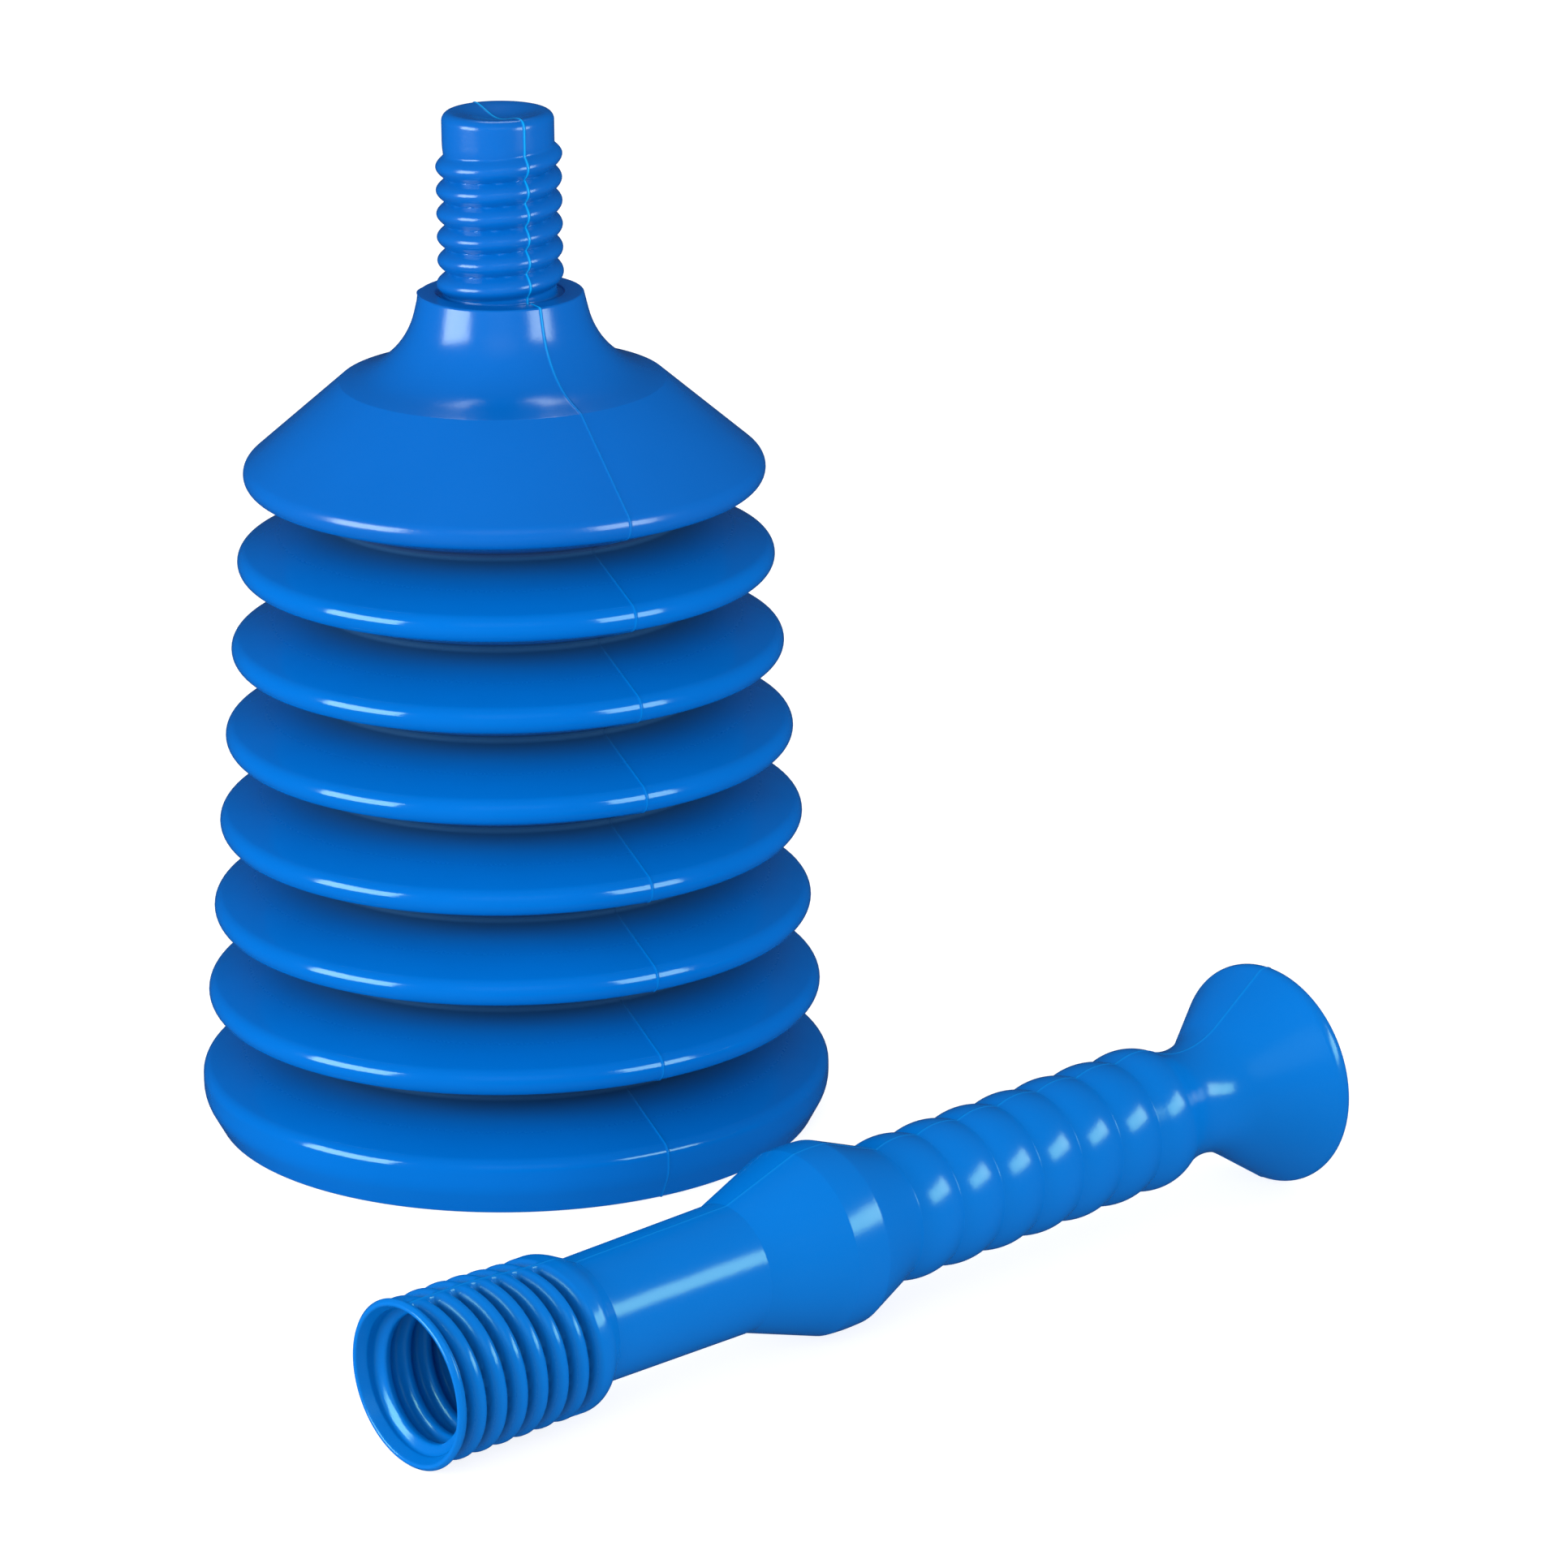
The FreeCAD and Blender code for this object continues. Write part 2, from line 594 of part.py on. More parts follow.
neck = make_neck()
folds = [make_fold(fold) for fold in range(2, FOLDS)]
foot = make_foot()
handle = make_handle()
doc.recompute()
write_parts([neck, *folds, foot, handle])
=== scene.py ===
import json
import math

import bpy
import numpy as np
from mathutils import Matrix

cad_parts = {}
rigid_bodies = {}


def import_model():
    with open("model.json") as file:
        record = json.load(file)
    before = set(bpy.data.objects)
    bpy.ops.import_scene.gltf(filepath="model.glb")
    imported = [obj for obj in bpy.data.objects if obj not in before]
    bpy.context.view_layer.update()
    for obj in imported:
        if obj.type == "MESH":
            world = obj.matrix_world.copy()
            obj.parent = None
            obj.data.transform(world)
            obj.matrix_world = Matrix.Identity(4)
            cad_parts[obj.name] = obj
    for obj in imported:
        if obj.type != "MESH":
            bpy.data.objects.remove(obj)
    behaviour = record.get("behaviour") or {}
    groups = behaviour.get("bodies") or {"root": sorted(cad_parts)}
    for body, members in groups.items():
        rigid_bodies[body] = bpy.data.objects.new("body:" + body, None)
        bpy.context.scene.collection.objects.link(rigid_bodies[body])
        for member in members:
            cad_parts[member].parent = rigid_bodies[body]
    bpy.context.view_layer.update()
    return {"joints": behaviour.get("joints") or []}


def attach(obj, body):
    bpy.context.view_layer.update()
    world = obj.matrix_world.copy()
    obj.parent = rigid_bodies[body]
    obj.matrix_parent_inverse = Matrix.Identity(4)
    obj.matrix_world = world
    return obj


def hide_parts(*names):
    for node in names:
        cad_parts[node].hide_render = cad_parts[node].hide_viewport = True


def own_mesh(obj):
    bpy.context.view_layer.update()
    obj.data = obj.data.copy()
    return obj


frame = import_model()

# ---------------------------------------------------------------------------------------------
# The folds of the bellows. They are one blow-moulding in soft blue polyethylene, 1.8 mm thick,
# with the neck above them. Each fold is a round peak between two tight creases, and the lowest
# curves in to a rim that seals on the sink. A thin flash runs over all of them on two sides.

FOLDS = 8
WALL = 0.0018
FOLD_PITCH = 0.0211
FOOT_PEAK_HEIGHT = 0.011
FOOT_PEAK_RADIUS = 0.075
PEAK_STEP = 0.002
PEAK_ROUND = 0.0035
FOLD_DEPTH = 0.019
CREASE_ROUND = 0.0010
CREASE_DROP = 0.0096
FOOT_RIM_RADIUS = 0.0717
FOOT_RIM_ROUND = 0.0010
FOOT_BOWL = 0.0085
FOOT_BOWL_DROP = 0.0020
# Neighbours stop this angle, in radians, short of the middle of a crease, so they don't touch.
CREASE_PARTING = 0.01
FLASH_ANGLE = math.radians(-60)
FLASH_WIDTH = 0.00024
FLASH_LIFT = 0.00020
# Below this height only this share of the flash's paleness, partly a painted highlight, shows.
FLASH_FAINT_BELOW = 0.176
FLASH_FAINT_FADE = 0.03
FLASH_FAINT_SHARE = 0.15
BELLOWS_GATHERED = 0.965
CREASE_SHADE = 0.32
BELLOWS_COLUMNS = 256


def belt(circles, first, last, arc_step=0.08, line_step=0.0015):
    """A line laid round circles in turn, as a belt lies round pulleys. A circle is (across, up,
    radius), with the radius below zero where the belt is on its hollow side. Neighbours share the
    tangent whose normal n has (c2 - c1) . n = r1 - r2, and a point on a circle is c + r n.
    first and last are the normal's angles at the two ends. Gives the points and their normals."""
    centres = np.array([circle[:2] for circle in circles])
    radii = np.array([circle[2] for circle in circles])
    gap = np.diff(centres, axis=0)
    spread = np.arccos((radii[:-1] - radii[1:]) / np.hypot(*gap.T))
    angles = np.unwrap([first, *(np.arctan2(gap[:, 1], gap[:, 0]) + spread), last])
    turned = []
    for begin, finish, centre, radius in zip(angles, angles[1:], centres, radii):
        turn = np.linspace(begin, finish, 2 + int(abs(finish - begin) / arc_step))
        normals = np.stack([np.cos(turn), np.sin(turn)], axis=1)
        arc = centre + radius * normals
        if turned:
            before = turned[-1][0]
            length = np.hypot(*(arc[0] - before[-1]))
            share = np.linspace(0, 1, 2 + int(length / line_step))[1:-1, None]
            between = before[-1] * (1 - share) + arc[0] * share
            turned.append((between, np.repeat(normals[:1], len(between), axis=0)))
        turned.append((arc, normals))
    return [np.concatenate(rows) for rows in zip(*turned)]


def thinned(circles):
    """The circles of the inner skin: the same centres, with radii less by the wall."""
    return [(across, up, radius - WALL) for across, up, radius in circles]


def eased(value):
    """From 0 to 1 with level ends: 3 v^2 - 2 v^3."""
    value = np.clip(value, 0, 1)
    return value * value * (3 - 2 * value)


def columns_round(count, gathered, towards):
    """Angles round the axis, t - g sin(2 (t - t0)) / 2, which crowd together at t0 and opposite."""
    even = np.arange(count) * 2 * math.pi / count
    return even - gathered * np.sin(2 * (even - towards)) / 2


def flash(radius, angle, towards, half_width):
    """How far up the flash a point is, from 0 to 1: exp(-(d / w)^2), d its distance from the
    plane in which the two halves of the mould met."""
    return np.exp(-((radius * np.sin(angle - towards) / half_width) ** 2))


def wrapped(name, points, closed, marks):
    """A mesh over a grid of points, row by row, with each row a ring. The last row joins the
    first where closed is true, and otherwise the two end rows are single points. marks are
    attributes by name, each with one number for every point."""
    rows, columns = points.shape[:2]
    ids = np.arange(rows * columns).reshape(rows, columns)
    if closed:
        upper, lower = ids, np.roll(ids, -1, axis=0)
    else:
        upper, lower = ids[1:-2], ids[2:-1]
    sides = np.stack([upper, lower, np.roll(lower, -1, 1), np.roll(upper, -1, 1)], axis=-1)
    faces = sides.reshape(-1, 4).tolist()
    if not closed:
        for pole, ring in ((ids[0], ids[1]), (ids[-1], ids[-2][::-1])):
            fan = np.stack([np.full(columns, pole[0]), ring, np.roll(ring, -1)], axis=-1)
            faces += fan.tolist()
    mesh = bpy.data.meshes.new(name)
    mesh.from_pydata(points.reshape(-1, 3), [], faces)
    for mark, numbers in marks.items():
        layer = mesh.attributes.new(mark, "FLOAT", "POINT")
        layer.data.foreach_set("value", numbers.astype(np.float32).ravel())
    mesh.validate()
    mesh.shade_smooth()
    mesh.set_sharp_from_angle(angle=math.radians(50))
    piece = bpy.data.objects.new(name, mesh)
    bpy.context.scene.collection.objects.link(piece)
    return piece


class Wire:
    """An output socket in a node tree. + - * ** between wires, or between a wire and a number,
    add the Math node; node() adds any other kind."""

    def __init__(self, tree, socket=None):
        self.tree = tree
        self.socket = socket

    def node(self, kind, settings, inputs, output=0):
        """A node of a type: its settings, then the numbers, colours or wires of its inputs."""
        made = self.tree.nodes.new(kind)
        for name, value in settings.items():
            setattr(made, name, value)
        for key, value in inputs.items():
            if isinstance(value, Wire):
                self.tree.links.new(value.socket, made.inputs[key])
            else:
                made.inputs[key].default_value = value
        return Wire(self.tree, made.outputs[output]) if len(made.outputs) else made

    def maths(self, operation, first, second):
        return self.node("ShaderNodeMath", {"operation": operation}, {0: first, 1: second})

    def __add__(self, other):
        return self.maths("ADD", self, other)

    __radd__ = __add__

    def __sub__(self, other):
        return self.maths("SUBTRACT", self, other)

    def __rsub__(self, other):
        return self.maths("SUBTRACT", other, self)

    def __mul__(self, other):
        return self.maths("MULTIPLY", self, other)

    __rmul__ = __mul__

    def __pow__(self, other):
        return self.maths("POWER", self, other)


def blue_plastic(name, body_colour, thin_wall_and_highlight_colour, glint, gloss, grain, ripple):
    """Glossy blue polyethylene: the colour drifts a little from place to place, is paler on the
    flash, partly because the wall is thin there and partly as a painted highlight, and deep in the
    creases it is darker, with painted shade, and rougher. glint is the tint of its reflections,
    gloss the roughness of the bare surface, and grain and ripple the heights in metres of the
    fine mould texture and of the slow unevenness."""
    material = bpy.data.materials.new(name)
    material.use_nodes = True
    tree = material.node_tree
    tree.nodes.clear()
    start = Wire(tree)
    place = start.node("ShaderNodeTexCoord", {}, {}, "Object")

    def noise(scale, detail):
        inputs = {"Vector": place, "Scale": scale, "Detail": detail}
        return start.node("ShaderNodeTexNoise", {}, inputs)

    drift = noise(24, 2.0)
    speckle = noise(1500, 3.0)
    flashed = start.node("ShaderNodeAttribute", {"attribute_name": "flash"}, {}, "Fac")
    deep = start.node("ShaderNodeAttribute", {"attribute_name": "deep"}, {}, "Fac")
    shades = [tuple(channel * level for channel in body_colour) + (1,) for level in (0.92, 1.08)]
    drifting = start.node(
        "ShaderNodeMix", {"data_type": "RGBA"}, {0: drift, 6: shades[0], 7: shades[1]}, 2
    )
    # On the flash the colour turns paler: partly the thin wall's own colour, partly a painted
    # highlight.
    pale = start.node(
        "ShaderNodeMix", {"data_type": "RGBA"}, {0: flashed, 6: drifting, 7: (*thin_wall_and_highlight_colour, 1)}, 2
    )
    # Deep in the creases and grooves the colour darkens to a share of itself: painted shade.
    painted_crease_shade = tuple(channel * CREASE_SHADE for channel in body_colour)
    colour = start.node(
        "ShaderNodeMix",
        {"data_type": "RGBA"},
        {0: deep ** 2.5, 6: pale, 7: (*painted_crease_shade, 1)},
        2,
    )
    roughness = gloss + (speckle - 0.5) * (0.5 * gloss) + (drift - 0.5) * (0.2 * gloss)
    roughness = roughness + deep ** 2 * 0.7
    uneven = start.node(
        "ShaderNodeBump", {}, {"Strength": 1.0, "Distance": ripple, "Height": noise(90, 1.0)}
    )
    textured = start.node(
        "ShaderNodeBump",
        {},
        {"Strength": 1.0, "Distance": grain, "Height": speckle, "Normal": uneven},
    )
    shader = start.node(
        "ShaderNodeBsdfPrincipled",
        {},
        {
            "Base Color": colour,
            "Roughness": roughness,
            "Normal": textured,
            "IOR": 1.5,
            "Specular Tint": (*glint, 1),
        },
    )
    start.node("ShaderNodeOutputMaterial", {}, {"Surface": shader})
    return material


def peak_circle(fold):
    """The rounding of a fold's peak, counted from 1 at the top."""
    radius = FOOT_PEAK_RADIUS - (FOLDS - fold) * PEAK_STEP
    height = FOOT_PEAK_HEIGHT + (FOLDS - fold) * FOLD_PITCH
    return (radius - PEAK_ROUND, height, PEAK_ROUND)


def crease_circle(fold):
    """The rounding of the crease under a fold."""
    skin = FOOT_PEAK_RADIUS - (FOLDS - fold - 0.5) * PEAK_STEP - FOLD_DEPTH
    height = FOOT_PEAK_HEIGHT + (FOLDS - fold) * FOLD_PITCH - CREASE_DROP
    return (skin + CREASE_ROUND, height, -CREASE_ROUND)


def turned_shell(name, outer, outer_normals, inner, closed=True, relief=None):
    """A shell turned about the Z axis: an outline point (r, z) goes round to (r cos a, r sin a, z),
    and the outer skin is lifted along its normal (nr, nz) by the flash. relief gives what is
    added to the outer skin's radius at a radius, angle and height."""
    outline = np.concatenate([outer, inner[::-1]])
    normals = np.concatenate([outer_normals, np.zeros_like(inner)])
    across, up = outline[:, :1], outline[:, 1:]
    angle = columns_round(BELLOWS_COLUMNS, BELLOWS_GATHERED, FLASH_ANGLE)[None, :]
    if relief:
        raised = relief(across, angle, up)
        raised[len(outer):] = 0
        across = across + raised
    on_flash = flash(across, angle, FLASH_ANGLE, FLASH_WIDTH)
    lift = FLASH_LIFT * on_flash
    radius = across + lift * normals[:, :1]
    height = up + lift * normals[:, 1:]
    points = np.stack([radius * np.cos(angle), radius * np.sin(angle), height], axis=-1)
    skin = np.hypot(normals[:, :1], normals[:, 1:])
    # The flash's paleness, partly a painted highlight, is painted fainter low down on the folds.
    seen = FLASH_FAINT_SHARE + (1 - FLASH_FAINT_SHARE) * eased((up - FLASH_FAINT_BELOW) / FLASH_FAINT_FADE)
    # deep, how far into a crease a point is, sets the painted shade and the extra roughness there.
    peaks = FOOT_PEAK_RADIUS - PEAK_STEP * (up - FOOT_PEAK_HEIGHT) / FOLD_PITCH
    between_peaks = (up < peak_circle(1)[1]) & (up > FOOT_PEAK_HEIGHT)
    deep = np.clip((peaks - across) / FOLD_DEPTH, 0, 1) * between_peaks * np.ones_like(angle)
    return wrapped(name, points, closed, {"flash": on_flash * skin * seen, "deep": deep})


def compressed(piece, fold):
    """Gives the fold its own copy of its mesh. It works out the stroke, the share of height kept at
    full stroke and the middle of the fold's height, but doesn't use them to flatten the fold."""
    stroke = next(joint for joint in frame["joints"] if joint["name"] == "bellows_compress")
    low = crease_circle(FOLDS - 1)[1]
    keep = 1 - max(map(abs, stroke["range_m"])) / (crease_circle(1)[1] - low)
    middle = (crease_circle(fold - 1)[1] + crease_circle(fold)[1]) / 2
    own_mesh(piece)


bellows_plastic = blue_plastic(
    "blue_polyethylene_bellows",
    (0.0, 0.098, 0.39),
    (0.0, 0.26, 0.62),
    (0.55, 1.0, 0.85),
    0.11,
    0.000005,
    0.00012,
)

for fold in range(2, FOLDS):
    circles = [crease_circle(fold - 1), peak_circle(fold), crease_circle(fold)]
    outer, outer_normals = belt(circles, CREASE_PARTING, -CREASE_PARTING)
    inner, _ = belt(thinned(circles), CREASE_PARTING, -CREASE_PARTING)
    piece = turned_shell(f"fold_{fold}", outer, outer_normals, inner)
    piece.data.materials.append(bellows_plastic)
    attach(piece, f"fold_{fold}")
    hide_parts(f"bellows_fold_{fold}")
    compressed(piece, fold)

# The foot is the lowest fold. Its lower wall is a bowl that curves in to a rounded rim, which
# stands on the floor; the flash runs down over the rim.
bowl = (FOOT_PEAK_RADIUS - FOOT_BOWL, FOOT_PEAK_HEIGHT - FOOT_BOWL_DROP, FOOT_BOWL)
lip = (FOOT_RIM_RADIUS - FOOT_RIM_ROUND, FOOT_RIM_ROUND, FOOT_RIM_ROUND)
circles = [crease_circle(FOLDS - 1), peak_circle(FOLDS), bowl, lip]
outer, outer_normals = belt(circles, CREASE_PARTING, -math.pi)
inner, _ = belt(thinned(circles), CREASE_PARTING, 0.0)
foot = turned_shell("foot", outer, outer_normals, inner[:-1])
foot.data.materials.append(bellows_plastic)
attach(foot, "foot")
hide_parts("bellows_foot")

# ---------------------------------------------------------------------------------------------
# The neck, in one with the top fold: a cone, a hollow-sided neck with a flat rim, and a threaded
# stub with a plain end and a dished top, which the handle screws onto.

SHOULDER = (0.0383, 0.1802)
NECK_RIM_RADIUS = 0.0193
NECK_RIM_HEIGHT = 0.2010
NECK_HOLLOW = (0.0404, 0.2012, 0.0207)
STUB_RADIUS = 0.0130
CORE_RADIUS = 0.0126
STUB_TOP = 0.2435
STUB_EDGE = 0.0021
RECESS_WIDTH = 0.0016
RECESS_DEPTH = 0.0005
DISH_DEPTH = 0.0018
THREAD_PITCH = 0.0055
THREAD_HEIGHT = 0.0020
ROW = 0.0003
THREAD_START = 0.2031
THREAD_TURNS = 5.5


def thread_rib(radius, angle, height):
    """How far the rib of the thread stands out at a place on the stub. The rib's middle climbs
    one pitch a turn from the -X side, z = z0 + p t, and across it the height over the core is
    h (1 - (2 d / p)^2)^1.2; past either end d is taken to the end point, so the rib rounds off.
    Along the thread the core is a little thinner than the plain end."""
    turn = np.mod(angle / (2 * math.pi) + 0.5, 1.0)
    climbed = (height - THREAD_START) / THREAD_PITCH
    raw = np.round(climbed - turn) + turn
    nearest = np.clip(raw, 0, THREAD_TURNS)
    beside = height - THREAD_START - nearest * THREAD_PITCH
    beyond = (raw - nearest) * 2 * math.pi * radius
    distance = np.hypot(beside, beyond * 0.35)
    rib = THREAD_HEIGHT * np.clip(1 - (2 * distance / THREAD_PITCH) ** 2, 0, 1) ** 1.2
    threaded = eased(climbed + 0.3) * eased(THREAD_TURNS + 0.6 - climbed)
    return rib - (STUB_RADIUS - CORE_RADIUS) * threaded


recess = STUB_RADIUS + RECESS_WIDTH
recess_floor = NECK_RIM_HEIGHT - RECESS_DEPTH
top_edge = (STUB_RADIUS - STUB_EDGE, STUB_TOP - STUB_EDGE, STUB_EDGE)
root = (STUB_RADIUS + 0.0005, recess_floor + 0.0005, -0.0005)
edge, edge_normals = belt([top_edge], math.pi / 2, 0.0)
wall_up = np.arange(top_edge[1] - ROW, root[1], -ROW)
stub_wall = np.stack([np.full_like(wall_up, STUB_RADIUS), wall_up], axis=1)
dish_across = np.linspace(0, top_edge[0], 24)[:-1]
dish_up = STUB_TOP - DISH_DEPTH * (1 - (dish_across / top_edge[0]) ** 2) ** 2
dish = np.stack([dish_across, dish_up], axis=1)
circles = [
    root,
    (recess - 0.0003, recess_floor + 0.0003, -0.0003),
    (recess + 0.0003, NECK_RIM_HEIGHT - 0.0003, 0.0003),
    (NECK_RIM_RADIUS - 0.0006, NECK_RIM_HEIGHT - 0.0006, 0.0006),
    (NECK_HOLLOW[0], NECK_HOLLOW[1], -NECK_HOLLOW[2]),
    (SHOULDER[0] - 0.0004, SHOULDER[1] - 0.0004, 0.0004),
    peak_circle(1),
    crease_circle(1),
]
body, body_normals = belt(circles, 0.0, -CREASE_PARTING)
outer = np.concatenate([dish, edge, stub_wall, body])
outer_normals = np.concatenate([
    np.tile([0.0, 1.0], (len(dish), 1)),
    edge_normals,
    np.tile([1.0, 0.0], (len(stub_wall), 1)),
    body_normals,
])
bore = STUB_RADIUS - WALL
circles = [
    (bore - 0.0005, STUB_TOP - 0.0043, 0.0005),
    (bore + 0.0003, NECK_RIM_HEIGHT - WALL + 0.0003, -0.0003),
    (NECK_RIM_RADIUS - WALL - 0.0005, NECK_RIM_HEIGHT - WALL - 0.0005, 0.0005),
    (NECK_HOLLOW[0], NECK_HOLLOW[1], -NECK_HOLLOW[2] - WALL),
    (SHOULDER[0] - 0.0012, SHOULDER[1] - 0.0021, 0.0003),
    *thinned([peak_circle(1), crease_circle(1)]),
]
inner, _ = belt(circles, math.pi / 2, -CREASE_PARTING, 0.2, 0.004)
inner = np.concatenate([[[0.0, inner[0, 1]]], inner])
neck = turned_shell("neck", outer, outer_normals, inner, False, thread_rib)
neck_plastic = blue_plastic(
    "blue_polyethylene_neck",
    (0.0, 0.085, 0.35),
    (0.0, 0.26, 0.62),
    (0.80, 1.0, 0.95),
    0.20,
    0.000016,
    0.00012,
)
neck.data.materials.append(neck_plastic)
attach(neck, "neck")
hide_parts("bellows_neck")

# ---------------------------------------------------------------------------------------------
# The handle, the second blow-moulding, hollow and open at its mouth. From the mouth: a flared
# lip, a socket with a screw thread that shows outside as grooves, a shank, a guard, a grip of
# seven beads, a waist and a mushroom knob. It lies on the floor on its lip and its knob.

LIP_RADIUS = 0.0188
LIP_END = 0.0022
SOCKET_RADIUS = 0.0183
THROAT_RADIUS = 0.0162
SHANK_RADIUS = 0.0141
SHANK_END = (0.0146, 0.0885)
SOCKET_END = 0.0470
SOCKET_ROUND_START = 0.0400
SOCKET_ROUND = 0.0050
GUARD_RADIUS = 0.0213
GUARD_MIDDLE = 0.1126
GUARD_CROWN = 0.0400
GUARD_WALL = 0.0060
GRIP_START = 0.132
BEADS = 7
BEAD_PITCH = 0.0121
BEAD_RADIUS = 0.0165
BEAD_ROUND = 0.01585
BEAD_CREASE_ROUND = 0.00035
GRIP_WALL = 0.0020
LAST_BEAD_ROUND = 0.013
WAIST_RADIUS = 0.0126
WAIST_ROUND = 0.0195
KNOB_RADIUS = 0.026
KNOB_ROUND = 0.0032
KNOB_MIDDLE = 0.2525
KNOB_DOME = 0.004
HANDLE_TOP = KNOB_MIDDLE + KNOB_ROUND + KNOB_DOME
DOME_ROUND = 0.0605
GROOVE_START = 0.0022
GROOVE_TURNS = 6.41
GROOVE_DEPTH = 0.0032
GROOVE_LIMIT = 0.0430
RIDGE_HEIGHT = 0.0022
SINK_DEPTH = 0.0017
SINK_START = 0.014
SINK_GROWS = 0.026
SINK_END = 0.0475
SINK_FADES = 0.006
HANDLE_COLUMNS = 176
HANDLE_GATHERED = 0.80
SOCKET_ROW = 0.00022
BORE_ROW = 0.0004
HANDLE_FLASH_WIDTH = 0.00025
HANDLE_FLASH_LIFT = 0.00012
MOUTH = (-0.0153, -0.2162)
HEADING = math.radians(40.7)


def helix_distance(angle, height, begin, turns, radius):
    """How far a place on the socket is from a right-handed helix z = z0 + p t. Past the ends of
    the helix, the distance is to its end point."""
    turn = np.mod(angle / (2 * math.pi), 1.0)
    raw = np.round((height - begin) / THREAD_PITCH - turn) + turn
    nearest = np.clip(raw, 0, turns)
    beyond = (raw - nearest) * 2 * math.pi * radius
    return np.hypot(height - begin - nearest * THREAD_PITCH, beyond)


tilt = math.asin(KNOB_ROUND / math.hypot(KNOB_MIDDLE, KNOB_RADIUS - KNOB_ROUND - LIP_RADIUS))
tilt += math.atan2(KNOB_RADIUS - KNOB_ROUND - LIP_RADIUS, KNOB_MIDDLE)
last_crest = GRIP_START + (BEADS - 0.5) * BEAD_PITCH
last_bead = (BEAD_RADIUS - LAST_BEAD_ROUND, last_crest, LAST_BEAD_ROUND)
waist_across = WAIST_RADIUS + WAIST_ROUND
between = LAST_BEAD_ROUND + WAIST_ROUND
waist_up = last_crest + math.sqrt(between ** 2 - (waist_across - last_bead[0]) ** 2)
crease_across = BEAD_RADIUS - BEAD_ROUND + 0.01505
circles = [
    (0.0, HANDLE_TOP - DOME_ROUND, DOME_ROUND),
    (KNOB_RADIUS - KNOB_ROUND, KNOB_MIDDLE, KNOB_ROUND),
    (waist_across + 0.00001, waist_up + 0.00001, -WAIST_ROUND),
    last_bead,
]
for bead in range(BEADS - 1, 0, -1):
    circles.append((crease_across, GRIP_START + bead * BEAD_PITCH, -BEAD_CREASE_ROUND))
    crest = GRIP_START + (bead - 0.5) * BEAD_PITCH
    circles.append((BEAD_RADIUS - BEAD_ROUND, crest, BEAD_ROUND))
circles += [
    (crease_across, GRIP_START, -BEAD_CREASE_ROUND),
    (GUARD_RADIUS - 0.0033, GUARD_MIDDLE + 0.0037, 0.0032),
    (GUARD_RADIUS - GUARD_CROWN, GUARD_MIDDLE, GUARD_CROWN),
    (GUARD_RADIUS - 0.0014, GUARD_MIDDLE - 0.0042, 0.0012),
    (SHANK_END[0] + 0.0010, SHANK_END[1], -0.0010),
    (SHANK_RADIUS + 0.0008, SOCKET_END, -0.0008),
    (SOCKET_RADIUS - SOCKET_ROUND, SOCKET_ROUND_START, SOCKET_ROUND),
]
upper, upper_normals = belt(circles, math.pi / 2, 0.0, 0.07, 0.0035)
socket_up = np.arange(upper[-1, 1] - SOCKET_ROW, LIP_END, -SOCKET_ROW)
socket = np.stack([np.full_like(socket_up, SOCKET_RADIUS), socket_up], axis=1)
circles = [
    (SOCKET_RADIUS + 0.0002, 0.0019, -0.0002),
    (LIP_RADIUS - 0.0006, 0.0010, 0.0006),
    (LIP_RADIUS - 0.0010, 0.0007, 0.0007),
    (THROAT_RADIUS + 0.0010, 0.0026, 0.0010),
]
mouth, mouth_normals = belt(circles, 0.0, -math.pi, 0.12, 0.0008)
bore_up = np.arange(mouth[-1, 1] + BORE_ROW, SOCKET_ROUND_START, BORE_ROW)
bore = np.stack([np.full_like(bore_up, THROAT_RADIUS), bore_up], axis=1)
circles = [
    (THROAT_RADIUS - 0.0006, 0.0410, -0.0006),
    (SHANK_RADIUS - WALL + 0.0005, 0.0425, 0.0005),
    (SHANK_END[0] - WALL - 0.0010, SHANK_END[1], -0.0010),
    (GUARD_RADIUS - GUARD_WALL, GUARD_MIDDLE - 0.0035, -0.0035),
    (GUARD_RADIUS - GUARD_WALL, GUARD_MIDDLE + 0.0035, -0.0035),
    (BEAD_RADIUS - GRIP_WALL, GRIP_START, 0.0010),
    (BEAD_RADIUS - GRIP_WALL, last_crest, 0.0010),
    (waist_across, waist_up, WAIST_ROUND + WALL),
    (KNOB_RADIUS - KNOB_ROUND, KNOB_MIDDLE, WALL - KNOB_ROUND),
    (0.0, HANDLE_TOP - DOME_ROUND, WALL - DOME_ROUND),
]
inside, _ = belt(circles, -math.pi, -math.pi / 2, 0.2, 0.008)
outline = np.concatenate([upper, socket, mouth, bore, inside])
outside_rows = len(upper) + len(socket) + len(mouth)
normals = np.zeros_like(outline)
normals[:len(upper)] = upper_normals
normals[len(upper):outside_rows - len(mouth)] = [1.0, 0.0]
normals[outside_rows - len(mouth):outside_rows] = mouth_normals
across, up = outline[:, :1], outline[:, 1:]
normal_across, normal_up = normals[:, :1], normals[:, 1:]

# The handle's own axes: its length u, e1 level and across it, and e2 downward.
u = np.array([
    math.cos(tilt) * math.cos(HEADING),
    math.cos(tilt) * math.sin(HEADING),
    math.sin(tilt),
])
e1 = np.array([math.sin(HEADING), -math.cos(HEADING), 0.0])
e2 = np.cross(u, e1)
angle = columns_round(HANDLE_COLUMNS, HANDLE_GATHERED, math.pi / 2)[None, :]

